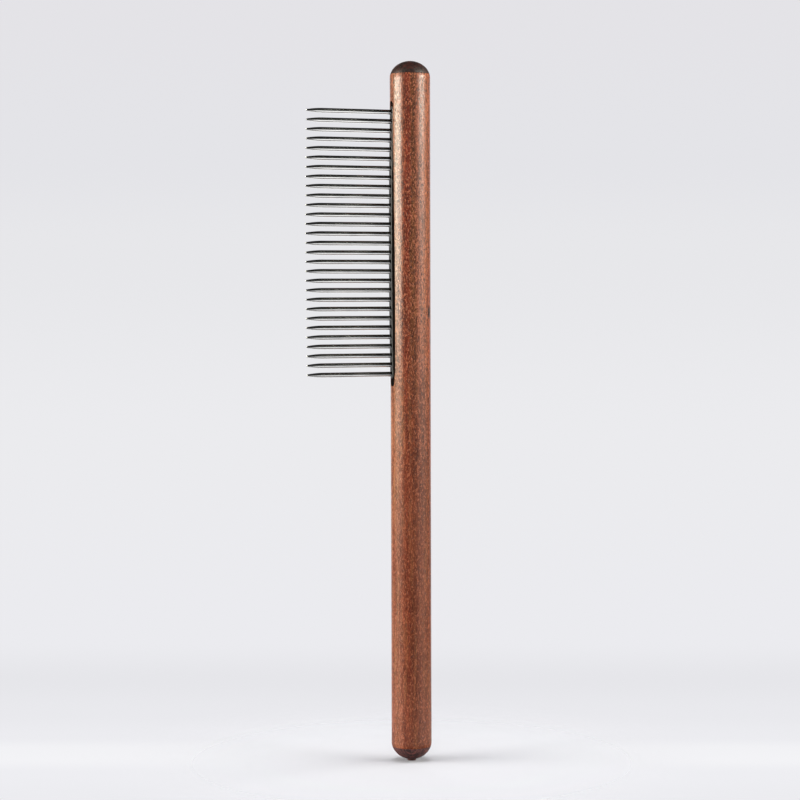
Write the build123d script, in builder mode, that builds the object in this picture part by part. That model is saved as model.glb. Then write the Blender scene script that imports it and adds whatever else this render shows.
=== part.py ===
"""Steel grooming comb: a turned hardwood rod with a row of steel teeth square to it.

Millimetres. +Z runs up along the rod, the teeth point along -X, and the origin
is the middle of the small flat on the rod's lower end.
"""

from build123d import *
import math
import os

# ------------------------------------------------------------ rod and its ends
OVERALL_L = 200.0          # tip to tip of the rod
HANDLE_R = 5.75            # rod radius
TOP_DOME_H = 5.0           # rise of the upper end above its shoulder
TOP_SHOULDER_Z = OVERALL_L - TOP_DOME_H
TOP_SIDE_R = 4.6           # arc next to the shoulder; a flatter one crowns it
BOTTOM_SHOULDER_Z = 5.40   # where the lower end starts to round over
BOTTOM_DOME_H = 5.07       # half height of the lower end's ellipse
TOP_SEAM_Z = 196.25        # joint between rod and upper end cap
BOTTOM_SEAM_Z = 4.10       # joint between rod and lower end cap
NUB_R = 1.23               # flat left where the lower end was parted off

TENON_R = 2.5              # turned spigot that holds each end cap
TENON_L = 5.0
TENON_CHAMFER = 0.3
BORE_R = TENON_R
BORE_DEPTH = TENON_L + 0.2  # leaves room for glue past the spigot

# Upper end: two tangent arcs, the crown's centre being on the axis.
TOP_SIDE_CENTER_X = HANDLE_R - TOP_SIDE_R
TOP_CROWN_R = (TOP_SIDE_CENTER_X**2 + TOP_DOME_H**2 - TOP_SIDE_R**2) / (
    2 * (TOP_DOME_H - TOP_SIDE_R)
)
TOP_CROWN_ANGLE = math.degrees(math.atan2(TOP_CROWN_R - TOP_DOME_H, TOP_SIDE_CENTER_X))
TOP_SEAM_ANGLE = math.degrees(math.asin((TOP_SEAM_Z - TOP_SHOULDER_Z) / TOP_SIDE_R))
TOP_SEAM_R = TOP_SIDE_CENTER_X + TOP_SIDE_R * math.cos(math.radians(TOP_SEAM_ANGLE))

# Lower end: an ellipse, cut by the seam and by the stub.
BOTTOM_SEAM_ANGLE = math.degrees(
    math.asin((BOTTOM_SHOULDER_Z - BOTTOM_SEAM_Z) / BOTTOM_DOME_H)
)
BOTTOM_SEAM_R = HANDLE_R * math.cos(math.radians(BOTTOM_SEAM_ANGLE))
NUB_ANGLE = math.degrees(math.acos(NUB_R / HANDLE_R))
NUB_TOP_Z = BOTTOM_SHOULDER_Z - BOTTOM_DOME_H * math.sin(math.radians(NUB_ANGLE))

# ---------------------------------------------------- slot, spine bar, adhesive
SLOT_W = 2.8               # milled slot that takes the spine bar
SLOT_L = 81.1
SLOT_Z = 148.05            # middle of the slot
SLOT_FLOOR_X = -1.5
SLOT_EASE = 0.18           # broken edge around the slot's mouth
MOUTH_MIN_OUT = 5.2        # the mouth's edges lie farther out than this
CUT_THROUGH = 10.0         # cut depth that clears the rod's surface

SPINE_W = 2.3              # bar thickness across the row
SPINE_L = 77.3
SPINE_Z = 148.45           # middle of the bar
SPINE_BACK_X = -1.7
SPINE_FACE_X = -6.13       # face at mid length
SPINE_TOP_X = -5.66        # the arched face falls back at both ends, and the
SPINE_BOTTOM_X = -5.80     # bar sits a little deeper at its upper end
SPINE_EDGE = 0.12          # broken edge of the face
SPINE_EXTRA = 0.5          # bar height to spare before the arch is cut

ARCH_CUT_HALF_L = 45.0     # the arch cutter overshoots the bar on every side
ARCH_CUT_X = -9.0
ARCH_CUT_HALF_W = 4.0

BED_TOP_X = -5.46          # how far the adhesive rises around the bar

# Circle of the bar's face: exact at mid length, fitted closely at both ends.
ARCH_TILT = (SPINE_TOP_X - SPINE_BOTTOM_X) / SPINE_L
ARCH_SAG = (SPINE_TOP_X + SPINE_BOTTOM_X) / 2 - SPINE_FACE_X
ARCH_R = ((SPINE_L / 2) ** 2 + ARCH_SAG**2) / (2 * ARCH_SAG)
ARCH_CENTER_Z = SPINE_Z - ARCH_TILT * ARCH_R
ARCH_CENTER_X = SPINE_FACE_X + math.sqrt(ARCH_R**2 - (SPINE_Z - ARCH_CENTER_Z) ** 2)

# ----------------------------------------------------------------------- teeth
TEETH = 29
PITCH = 2.652
ROW_Z = 148.25             # middle of the tooth row
TOOTH_R = 0.70
TOOTH_FREE_L = 25.38       # from the bar's face to the tip
TOOTH_SHANK_L = 3.50       # length held in the bar
TOOTH_HOLE_DEPTH = TOOTH_SHANK_L + 0.10
HOLE_START_OUT = 0.5       # the holes are started this far outside the face
TAPER_L = 5.0              # length of the rounded-off point
TAPER_ARC_R = 27.7
FLARE_R = 0.86             # small bead where a tooth leaves the bar
FLARE_L = 0.42
FLARE_ARC_R = 0.9
FLARE_GAP = 0.02           # between the bar's face and the bead

# Tip arc tangent to the taper arc. MEET_OUT and MEET_UP are the unit direction
# from the taper arc's centre to the point where the two meet.
TIP_R = (2 * TOOTH_R * TAPER_ARC_R - TOOTH_R**2 - TAPER_L**2) / (
    2 * TAPER_ARC_R - 2 * TAPER_L
)
MEET_OUT = (TAPER_L - TIP_R) / (TAPER_ARC_R - TIP_R)
MEET_UP = (TAPER_ARC_R - TOOTH_R) / (TAPER_ARC_R - TIP_R)

# Heights of the teeth, from the top of the row down.
TOOTH_ZS = [ROW_Z + PITCH * ((TEETH - 1) / 2 - i) for i in range(TEETH)]


def face_x(z):
    """x of the bar's arched face at height z."""
    return ARCH_CENTER_X - math.sqrt(ARCH_R**2 - (z - ARCH_CENTER_Z) ** 2)


def export_piece(part, name):
    """Label a piece and write its STEP file."""
    part.label = name
    export_step(part, f"parts/{name}.step")


def make_handle():
    """Straight rod, its ends just starting to round over where the caps join it."""
    with BuildPart() as handle:
        with BuildSketch(Plane.XZ):
            with BuildLine():
                Line((0, BOTTOM_SEAM_Z), (BOTTOM_SEAM_R, BOTTOM_SEAM_Z))
                EllipticalCenterArc(
                    (0, BOTTOM_SHOULDER_Z), HANDLE_R, BOTTOM_DOME_H,
                    start_angle=-BOTTOM_SEAM_ANGLE, arc_size=BOTTOM_SEAM_ANGLE,
                )
                Line((HANDLE_R, BOTTOM_SHOULDER_Z), (HANDLE_R, TOP_SHOULDER_Z))
                CenterArc((TOP_SIDE_CENTER_X, TOP_SHOULDER_Z), TOP_SIDE_R, 0, TOP_SEAM_ANGLE)
                Line((TOP_SEAM_R, TOP_SEAM_Z), (0, TOP_SEAM_Z))
                Line((0, TOP_SEAM_Z), (0, BOTTOM_SEAM_Z))
            make_face()
        revolve(axis=Axis.Z)

        # Slot for the spine bar, cut from the tooth side with round ends.
        with BuildSketch(Plane.YZ.offset(SLOT_FLOOR_X)):
            with Locations((0, SLOT_Z)):
                SlotOverall(SLOT_L, SLOT_W, rotation=90)
        extrude(amount=-CUT_THROUGH, mode=Mode.SUBTRACT)
        mouth = [
            edge
            for edge in handle.edges().filter_by(GeomType.CIRCLE, reverse=True)
            if edge.center().X < -MOUTH_MIN_OUT
            and abs(edge.center().Z - SLOT_Z) < SLOT_L / 2
            and abs(edge.center().Y) < SLOT_W / 2 + 0.01
        ]
        fillet(mouth, radius=SLOT_EASE)

        # Blind bores for the end caps' spigots.
        with Locations(Location((0, 0, TOP_SEAM_Z))):
            Hole(BORE_R, BORE_DEPTH)
        with Locations(Location((0, 0, BOTTOM_SEAM_Z), (180, 0, 0))):
            Hole(BORE_R, BORE_DEPTH)
    return handle.part


def make_top_end_cap():
    """Dark wood dome with a turned spigot on its flat side."""
    tenon_z = TOP_SEAM_Z - TENON_L
    with BuildPart() as cap:
        with BuildSketch(Plane.XZ):
            with BuildLine():
                Polyline(
                    (0, tenon_z),
                    (TENON_R - TENON_CHAMFER, tenon_z),
                    (TENON_R, tenon_z + TENON_CHAMFER),
                    (TENON_R, TOP_SEAM_Z),
                    (TOP_SEAM_R, TOP_SEAM_Z),
                )
                CenterArc(
                    (TOP_SIDE_CENTER_X, TOP_SHOULDER_Z), TOP_SIDE_R,
                    TOP_SEAM_ANGLE, TOP_CROWN_ANGLE - TOP_SEAM_ANGLE,
                )
                crown = CenterArc(
                    (0, OVERALL_L - TOP_CROWN_R), TOP_CROWN_R,
                    TOP_CROWN_ANGLE, 90 - TOP_CROWN_ANGLE,
                )
                Line(crown @ 1, (0, tenon_z))
            make_face()
        revolve(axis=Axis.Z)
    return cap.part


def make_bottom_end_cap():
    """Lower cap and spigot, with the flat stub where it was parted off the lathe."""
    tenon_z = BOTTOM_SEAM_Z + TENON_L
    with BuildPart() as cap:
        with BuildSketch(Plane.XZ):
            with BuildLine():
                Polyline((0, 0), (NUB_R, 0), (NUB_R, NUB_TOP_Z))
                EllipticalCenterArc(
                    (0, BOTTOM_SHOULDER_Z), HANDLE_R, BOTTOM_DOME_H,
                    start_angle=-NUB_ANGLE, arc_size=NUB_ANGLE - BOTTOM_SEAM_ANGLE,
                )
                Polyline(
                    (BOTTOM_SEAM_R, BOTTOM_SEAM_Z),
                    (TENON_R, BOTTOM_SEAM_Z),
                    (TENON_R, tenon_z - TENON_CHAMFER),
                    (TENON_R - TENON_CHAMFER, tenon_z),
                    (0, tenon_z),
                    (0, 0),
                )
            make_face()
        revolve(axis=Axis.Z)
    return cap.part


def make_spine_bar():
    """Steel bar with round ends, an arched outer face and a blind hole per tooth."""
    cut_bottom_z = SPINE_Z - ARCH_CUT_HALF_L
    cut_top_z = SPINE_Z + ARCH_CUT_HALF_L
    with BuildPart() as bar:
        with BuildSketch(Plane.YZ.offset(SPINE_BACK_X)):
            with Locations((0, SPINE_Z)):
                SlotOverall(SPINE_L, SPINE_W, rotation=90)
        extrude(amount=-(SPINE_BACK_X - SPINE_FACE_X + SPINE_EXTRA))

        # Trim the outer face to its arch.
        with BuildSketch(Plane.XZ):
            with BuildLine():
                ThreePointArc(
                    (face_x(cut_bottom_z), cut_bottom_z),
                    (SPINE_FACE_X, SPINE_Z),
                    (face_x(cut_top_z), cut_top_z),
                )
                Polyline(
                    (face_x(cut_top_z), cut_top_z),
                    (ARCH_CUT_X, cut_top_z),
                    (ARCH_CUT_X, cut_bottom_z),
                    (face_x(cut_bottom_z), cut_bottom_z),
                )
            make_face()
        extrude(amount=ARCH_CUT_HALF_W, both=True, mode=Mode.SUBTRACT)
        face_edges = bar.faces().sort_by(Axis.X)[0].outer_wire().edges()
        fillet(face_edges, radius=SPINE_EDGE)

        hole_starts = [
            Location((face_x(z) - HOLE_START_OUT, 0, z), (0, -90, 0)) for z in TOOTH_ZS
        ]
        with Locations(*hole_starts):
            Hole(TOOTH_R, HOLE_START_OUT + TOOTH_HOLE_DEPTH)
    return bar.part


def make_adhesive_bed():
    """Dark adhesive: a floor under the bar, a film along it and filled slot ends."""
    with BuildPart() as bed:
        with BuildSketch(Plane.YZ.offset(SLOT_FLOOR_X)):
            with Locations((0, SLOT_Z)):
                SlotOverall(SLOT_L, SLOT_W, rotation=90)
        extrude(amount=-(SLOT_FLOOR_X - BED_TOP_X))

        # Room for the bar.
        with BuildSketch(Plane.YZ.offset(SPINE_BACK_X)):
            with Locations((0, SPINE_Z)):
                SlotOverall(SPINE_L, SPINE_W, rotation=90)
        extrude(amount=-CUT_THROUGH, mode=Mode.SUBTRACT)
    return bed.part


def make_tooth(z):
    """Turned tooth: shank, small bead at the root, straight body and blunt point.

    The profile is drawn with its first axis along -X, measured from the rod's axis.
    """
    face = -face_x(z)
    root = face - TOOTH_SHANK_L
    flare = face + FLARE_GAP
    tip = face + TOOTH_FREE_L
    taper = tip - TAPER_L
    meet = (
        taper + TAPER_ARC_R * MEET_OUT,
        TOOTH_R - TAPER_ARC_R + TAPER_ARC_R * MEET_UP,
    )
    with BuildPart() as tooth:
        with BuildSketch(Plane(origin=(0, 0, z), x_dir=(-1, 0, 0), z_dir=(0, 1, 0))):
            with BuildLine():
                Polyline((root, 0), (root, TOOTH_R), (flare, TOOTH_R), (flare, FLARE_R))
                RadiusArc((flare, FLARE_R), (flare + FLARE_L, TOOTH_R), FLARE_ARC_R)
                Line((flare + FLARE_L, TOOTH_R), (taper, TOOTH_R))
                TangentArc((taper, TOOTH_R), meet, tangent=(1, 0))
                TangentArc(meet, (tip, 0), tangent=(MEET_UP, -MEET_OUT))
                Line((tip, 0), (root, 0))
            make_face()
        revolve(axis=Axis((0, 0, z), (-1, 0, 0)))
    return tooth.part


os.makedirs("parts", exist_ok=True)
export_piece(make_handle(), "handle")
export_piece(make_top_end_cap(), "top_end_cap")
export_piece(make_bottom_end_cap(), "bottom_end_cap")
export_piece(make_spine_bar(), "spine_bar")
export_piece(make_adhesive_bed(), "adhesive_bed")
for number, z in enumerate(TOOTH_ZS, start=1):
    export_piece(make_tooth(z), f"tooth_{number:02d}")
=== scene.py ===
"""A comb-like tool: a round lacquered wooden rod with a row of long steel teeth down one side.

The rod stands upright on Z with its butt at z = 0 and its axis on the origin. A slot in its
-X side holds a steel bar bedded in black adhesive, and the teeth stick out of the bar along -X.
Dark wooden caps with tenons close the rod's two ends.
"""

import math
from collections import namedtuple

import bmesh
import bpy
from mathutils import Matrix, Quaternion, Vector, noise
from mathutils.geometry import delaunay_2d_cdt


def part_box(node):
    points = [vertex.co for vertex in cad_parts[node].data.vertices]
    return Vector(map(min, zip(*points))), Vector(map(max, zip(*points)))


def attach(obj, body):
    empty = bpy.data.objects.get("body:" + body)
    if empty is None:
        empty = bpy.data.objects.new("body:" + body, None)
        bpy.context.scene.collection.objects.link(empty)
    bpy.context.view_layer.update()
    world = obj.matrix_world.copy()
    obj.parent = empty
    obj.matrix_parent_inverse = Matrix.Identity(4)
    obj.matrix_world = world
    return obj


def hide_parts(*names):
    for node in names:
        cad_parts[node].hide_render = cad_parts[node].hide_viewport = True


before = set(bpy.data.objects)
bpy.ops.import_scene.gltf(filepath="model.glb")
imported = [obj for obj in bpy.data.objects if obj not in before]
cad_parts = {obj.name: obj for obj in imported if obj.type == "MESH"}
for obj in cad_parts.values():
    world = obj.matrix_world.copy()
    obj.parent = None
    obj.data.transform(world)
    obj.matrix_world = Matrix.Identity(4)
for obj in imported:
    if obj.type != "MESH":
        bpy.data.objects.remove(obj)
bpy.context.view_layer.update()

MM = 0.001
TAU = 2 * math.pi

# The picture's right, level; the camera's bearing from the rod is square to it
SIDE_X, SIDE_Y = 0.9336, -0.3584
SIDE = Vector((SIDE_X, SIDE_Y, 0.0))
VIEW = Vector((SIDE_Y, -SIDE_X, 0.0))

# ---------------------------------------------------------------- sizes, in metres
rod_lo, rod_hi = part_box("handle")
top_lo, top_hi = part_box("top_end_cap")
bottom_lo, bottom_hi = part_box("bottom_end_cap")
bar_lo, bar_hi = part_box("spine_bar")
bed_lo, bed_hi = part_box("adhesive_bed")

R = rod_hi.x                              # rod radius
Z_TOP_SEAM, Z_BOT_SEAM = rod_hi.z, rod_lo.z
Z_APEX = top_hi.z

# The top rounds over on a tight side arc, then a shallow crown arc
TOP_SHOULDER = Z_APEX - 5.0 * MM
TOP_SIDE_R = 4.6 * MM
TOP_SIDE_C = R - TOP_SIDE_R               # the side arc's centre, out from the axis
TOP_DOME_H = Z_APEX - TOP_SHOULDER
TOP_CROWN_R = (TOP_SIDE_C**2 + TOP_DOME_H**2 - TOP_SIDE_R**2) / (2 * (TOP_DOME_H - TOP_SIDE_R))
TOP_SEAM_ANGLE = math.asin((Z_TOP_SEAM - TOP_SHOULDER) / TOP_SIDE_R)

# The bottom is a half ellipse with a short stub under it
BOT_SHOULDER = 5.40 * MM
BOT_DOME_H = 5.07 * MM
BOT_SEAM_ANGLE = math.asin((BOT_SHOULDER - Z_BOT_SEAM) / BOT_DOME_H)
NUB_R = 1.23 * MM

TENON_R = 2.5 * MM
SEAM_FLAT_R = 4.0 * MM                    # a ring on the flat faces that meet at a seam

SLOT_A = (bed_hi.y - bed_lo.y) / 2        # half width
SLOT_ZC = (bed_hi.z + bed_lo.z) / 2
SLOT_H = (bed_hi.z - bed_lo.z) / 2        # half length
SLOT_STRAIGHT = SLOT_H - SLOT_A           # half length of the straight sides
SLOT_FLOOR = bed_hi.x
SLOT_WALL_X = (-5.0 * MM, -3.2 * MM, SLOT_FLOOR)
BAR_A = (bar_hi.y - bar_lo.y) / 2
BAR_ZC = (bar_hi.z + bar_lo.z) / 2
BAR_H = (bar_hi.z - bar_lo.z) / 2
BAR_STRAIGHT = BAR_H - BAR_A
BAR_BACK = bar_hi.x

TOOTH_R = 0.70 * MM
SHANK_L = 3.50 * MM                       # length of tooth buried in the bar
Tooth = namedtuple("Tooth", "node z tip face")   # tip and bar face are x positions


def read_tooth(node):
    lo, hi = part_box(node)
    return Tooth(node, (lo.z + hi.z) / 2, lo.x, hi.x - SHANK_L)


TEETH = [read_tooth(n) for n in sorted(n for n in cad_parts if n.startswith("tooth_"))]


def fit_circle(points):
    """Circle through three (z, x) points: centre z, centre x, radius."""
    (z1, x1), (z2, x2), (z3, x3) = points
    q1, q2, q3 = (z**2 + x**2 for z, x in points)
    area = z1 * (x2 - x3) - x1 * (z2 - z3) + z2 * x3 - z3 * x2
    z_term = q1 * (x3 - x2) + q2 * (x1 - x3) + q3 * (x2 - x1)
    x_term = q1 * (z2 - z3) + q2 * (z3 - z1) + q3 * (z1 - z2)
    zc, xc = -z_term / (2 * area), -x_term / (2 * area)
    return zc, xc, math.hypot(z1 - zc, x1 - xc)


ARC_Z, ARC_X, ARC_R = fit_circle(
    [(t.z, t.face) for t in (TEETH[0], TEETH[len(TEETH) // 2], TEETH[-1])]
)


def face_x(z):
    """x of the bar's arched outer face at height z."""
    return ARC_X - math.sqrt(ARC_R**2 - (z - ARC_Z) ** 2)


# ---------------------------------------------------------------- mesh helpers
def link(name, data):
    ob = bpy.data.objects.new(name, data)
    bpy.context.scene.collection.objects.link(ob)
    return ob


class Shell:
    """Vertices and faces of a skin built up ring by ring."""

    def __init__(self, verts=(), faces=()):
        self.verts, self.faces = list(verts), list(faces)

    def ring(self, points):
        start = len(self.verts)
        self.verts.extend(points)
        return list(range(start, len(self.verts)))

    def bridge(self, a, b):
        """Joins two rings; either may be a single point."""
        count = max(len(a), len(b))
        for k in range(count):
            n = (k + 1) % count
            if len(a) == 1:
                self.faces.append((a[0], b[n], b[k]))
            elif len(b) == 1:
                self.faces.append((a[k], a[n], b[0]))
            else:
                self.faces.append((a[k], a[n], b[n], b[k]))

    def skin(self, loops, last=None):
        """Joins each loop of points to the one before, and returns the final ring."""
        for points in loops:
            ring = self.ring(points)
            if last:
                self.bridge(last, ring)
            last = ring
        return last

    def close(self, ring):
        self.faces.append(tuple(ring))

    def flip(self):
        self.faces = [(f[0], *reversed(f[1:])) for f in self.faces]

    def mesh(self, name):
        me = bpy.data.meshes.new(name)
        me.from_pydata([tuple(v) for v in self.verts], [], self.faces)
        return me

    def build(self, name, sharp_deg):
        """A smooth-shaded object, with edges steeper than sharp_deg kept sharp."""
        me = self.mesh(name)
        me.validate()
        bm = bmesh.new()
        bm.from_mesh(me)
        bmesh.ops.remove_doubles(bm, verts=bm.verts, dist=2e-8)
        bmesh.ops.recalc_face_normals(bm, faces=bm.faces)
        bm.to_mesh(me)
        bm.free()
        for p in me.polygons:
            p.use_smooth = True
        me.set_sharp_from_angle(angle=math.radians(sharp_deg))
        return link(name, me)


def circle(radius, z, count, wobble=None):
    """A ring of points about Z, or a single point on the axis."""
    if radius < 1e-9:
        return [(0.0, 0.0, z)]
    points = []
    for k in range(count):
        theta = TAU * k / count
        r = radius + (wobble(theta, z) if wobble else 0.0)
        points.append((r * math.cos(theta), r * math.sin(theta), z))
    return points


def obround(a, half_len, side_steps, end_steps):
    """Points (y, z) round an obround centred on zero, half width a, as a closed loop."""
    points = []
    s = half_len - a
    for side, turn in ((1, 0.0), (-1, math.pi)):
        points += [(side * a, side * (-s + 2 * s * i / side_steps)) for i in range(side_steps)]
        for i in range(end_steps):
            t = turn + math.pi * i / end_steps
            points.append((a * math.cos(t), side * s + a * math.sin(t)))
    return points


def core_distance(y, z, straight):
    """Distance of (y, z) from an obround's centre line."""
    return math.hypot(y, z - max(-straight, min(straight, z)))


def grow(y, z, straight, offset, centre=0.0):
    """Moves (y, z) away from an obround's centre line."""
    zc = max(centre - straight, min(centre + straight, z))
    dist = math.hypot(y, z - zc)
    return y + y / dist * offset, z + (z - zc) / dist * offset


def loop_edges(start, count):
    return [(start + k, start + (k + 1) % count) for k in range(count)]


def triangulate(coords, edges, dropped):
    """Triangulates in the plane, leaving out triangles whose centre is dropped(x, y)."""
    points, _, triangles, *_ = delaunay_2d_cdt(coords, edges, [], 0, 1e-9, True)
    faces = []
    for t in triangles:
        x = sum(points[i].x for i in t) / 3
        y = sum(points[i].y for i in t) / 3
        if not dropped(x, y):
            faces.append(tuple(t))
    return points, faces


def smooth01(t):
    t = min(1.0, max(0.0, t))
    return t * t * (3 - 2 * t)


def hollow(depth, theta, z, reach, period, shift=0.0):
    """Noise round the rod, from 0 down to -depth. A larger reach gives more lobes round it."""
    at = Vector((math.cos(theta) * reach + shift, math.sin(theta) * reach, z / period))
    return -depth * (0.5 + 0.5 * noise.noise(at))


# ---------------------------------------------------------------- handle
ROD_COLS, ROD_ROWS = 180, 260
SLOT_STEPS = (190, 28)                    # along a side, round an end
EDGE_STEPS = 5                            # round a broken edge
SEAM_FLAT, SEAM_FADE = 0.5 * MM, 6 * MM   # true length at each seam, then the fade to wobble
GRID_GAP = 0.33 * MM                      # the even grid stops this far from the slot
HELPER_OFFSETS = (0.03 * MM, 0.16 * MM)   # loops outside the mouth keep triangles even
MOUTH_SINK = 0.012 * MM                   # the eased mouth starts this far below the surface
TRIM_SLACK = 0.004 * MM

# The slot was cut slightly askew: its -Y wall stands close to the bar at the
# upper end and well clear of it lower down. Height, distance from y = 0, in mm.
WALL = [
    (107.0, 1.40), (109.0, 1.48), (110.6, 1.66), (113.0, 1.80), (117.7, 1.86), (123.4, 1.88),
    (134.7, 1.84), (140.4, 1.80), (146.0, 1.74), (151.8, 1.61), (157.4, 1.54), (163.0, 1.48),
    (168.8, 1.36), (174.0, 1.27), (179.0, 1.18), (190.0, 1.165),
]


def on_rod(theta, z):
    """A point on the hand-sanded rod, very slightly out of true except near the seams."""
    wobble = hollow(0.016 * MM, theta, z, reach=0.9, period=16 * MM)
    wobble += hollow(0.005 * MM, theta, z, reach=1.7, period=5.5 * MM, shift=5.0)
    low_fade = smooth01((z - Z_BOT_SEAM - SEAM_FLAT) / SEAM_FADE)
    high_fade = smooth01((Z_TOP_SEAM - SEAM_FLAT - z) / SEAM_FADE)
    r = R + wobble * (low_fade * high_fade)
    return Vector((r * math.cos(theta), r * math.sin(theta), z))


def mouth_ease(z):
    """Width of the broken edge round the slot's mouth: tighter at the upper end."""
    t = smooth01((SLOT_ZC + 16 * MM - z) / (28 * MM))
    return (0.018 + 0.045 * t) * MM


def wall_y(z):
    height = z / MM
    for (z0, y0), (z1, y1) in zip(WALL, WALL[1:]):
        if height <= z1:
            t = min(1.0, max(0.0, (height - z0) / (z1 - z0)))
            return (y0 + (y1 - y0) * t) * MM
    return WALL[-1][1] * MM


def widen(y, z):
    """Moves a point of the even slot outline to where the cut really runs."""
    return y * wall_y(z) / SLOT_A if y < 0 else y


def unwiden(y, z):
    return y * SLOT_A / wall_y(z) if y < 0 else y


def slot_ring(ease, offset=0.0, sink_ease=0.0, sink=0.0):
    """A loop round the slot, offset outward from its wall and sunk below the rod's surface.

    ease and sink_ease are further offset and sink as shares of the broken edge's width.
    """
    points = []
    for y, z in obround(SLOT_A, SLOT_H, *SLOT_STEPS):
        width = mouth_ease(z + SLOT_ZC)
        y, z_out = grow(y, z, SLOT_STRAIGHT, width * ease + offset)
        y = widen(y, z_out + SLOT_ZC)
        x = -math.sqrt(R * R - y * y) + (width * sink_ease + sink)
        points.append(Vector((x, y, z_out + SLOT_ZC)))
    return points


def angle_of(v):
    return math.atan2(v.y, v.x) % TAU


def slot_distance(u, z):
    """Distance from the slot's centre line at arc length u round the rod, on the even outline."""
    if math.cos(u / R) >= 0:
        return math.inf
    y = unwiden(R * math.sin(u / R), z)
    return core_distance(y, z - SLOT_ZC, SLOT_STRAIGHT)


def rod_skin(mouth):
    """The rod's side, unrolled to (arc length, z), triangulated round the mouth and rolled up."""
    du = TAU * R / ROD_COLS
    dz = (TOP_SHOULDER - BOT_SHOULDER) / ROD_ROWS
    points, index = [], {}
    for j in range(ROD_ROWS + 1):
        z = BOT_SHOULDER + dz * j
        for i in range(ROD_COLS + 1):
            if slot_distance(du * i, z) < SLOT_A + GRID_GAP:
                continue
            index[i, j] = len(points)
            points.append((du * i, z))
    for offset in HELPER_OFFSETS:
        points += [(R * angle_of(v), v.z) for v in slot_ring(ease=1.0, offset=offset)]
    edges = loop_edges(len(points), len(mouth))
    points += [(R * angle_of(v), v.z) for v in mouth]
    for i in range(ROD_COLS):
        edges += [(index[i, j], index[i + 1, j]) for j in (0, ROD_ROWS)]
    for j in range(ROD_ROWS):
        edges += [(index[i, j], index[i, j + 1]) for i in (0, ROD_COLS)]

    def in_mouth(u, z):
        return slot_distance(u, z) < SLOT_A + mouth_ease(z) - TRIM_SLACK

    flat, faces = triangulate([Vector(p) for p in points], edges, in_mouth)
    return Shell([on_rod(p.x / R, p.y) for p in flat], faces)


def top_side(angle):
    """(r, z) on the top's side arc."""
    return (TOP_SIDE_C + TOP_SIDE_R * math.cos(angle), TOP_SHOULDER + TOP_SIDE_R * math.sin(angle))


def bottom_dome(angle):
    """(r, z) on the bottom's half ellipse."""
    return (R * math.cos(angle), BOT_SHOULDER - BOT_DOME_H * math.sin(angle))


TOP_SEAM_R, BOT_SEAM_R = top_side(TOP_SEAM_ANGLE)[0], bottom_dome(BOT_SEAM_ANGLE)[0]


def rod_end(seam_r, seam_z, tenon_z, up):
    """(r, z) over the fine broken edge, across the flat and down the bore. up is +1 or -1."""
    return [
        (seam_r - 0.015 * MM, seam_z - up * 0.012 * MM),
        (seam_r - 0.05 * MM, seam_z),
        (SEAM_FLAT_R, seam_z),
        (TENON_R, seam_z),
        (TENON_R, seam_z - up * 3 * MM),
        (TENON_R, tenon_z - up * 0.2 * MM),
    ]


def build_handle():
    mouth = slot_ring(ease=1.0)
    shell = rod_skin(mouth)
    loops = [[on_rod(angle_of(v), v.z) for v in mouth]]
    for k in range(1, EDGE_STEPS + 1):
        a = math.pi / 2 * k / EDGE_STEPS
        loops.append(slot_ring(1 - math.sin(a), sink_ease=1 - math.cos(a), sink=MOUTH_SINK))
    wall = slot_ring(ease=0.0)
    loops += [[Vector((x, v.y, v.z)) for v in wall] for x in SLOT_WALL_X]
    shell.close(shell.skin(loops))

    # the rounded ends stop a little short of the seams
    top = [top_side(TOP_SEAM_ANGLE * k / 10 * 0.965) for k in range(11)]
    top += rod_end(TOP_SEAM_R, Z_TOP_SEAM, top_lo.z, up=1)
    bottom = [bottom_dome(BOT_SEAM_ANGLE * k / 8 * 0.96) for k in range(9)]
    bottom += rod_end(BOT_SEAM_R, Z_BOT_SEAM, bottom_hi.z, up=-1)
    for profile in (top, bottom):
        shell.close(shell.skin(circle(r, z, ROD_COLS) for r, z in profile))
    return shell.build("handle_rod", sharp_deg=50)


# ---------------------------------------------------------------- end caps
CAP_SEGS = 144
TENON_EDGE = 0.3 * MM
SEAM_GAP_ANGLE = 0.012                    # the dome starts this far past the seam, radians
CAP_TRUE = 0.3 * MM                       # no wobble this close to the seam


def tenon(end_z, middle_z, seam_z, up):
    """(r, z) from the tenon's end to the seam."""
    return [
        (0.0, end_z),
        (TENON_R - TENON_EDGE, end_z),
        (TENON_R, end_z + up * TENON_EDGE),
        (TENON_R, middle_z),
        (TENON_R, seam_z),
    ]


def seam_lip(seam_r, seam_z, up):
    """(r, z) out along the cap's flat face and over its broken edge."""
    return [
        (SEAM_FLAT_R, seam_z + up * 0.001 * MM),
        (seam_r - 0.055 * MM, seam_z + up * 0.001 * MM),
        (seam_r - 0.02 * MM, seam_z + up * 0.014 * MM),
    ]


def build_cap(name, profile, wobble):
    shell = Shell()
    shell.skin(circle(r, z, CAP_SEGS, wobble) for r, z in profile)
    return shell.build(name, sharp_deg=50)


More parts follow.
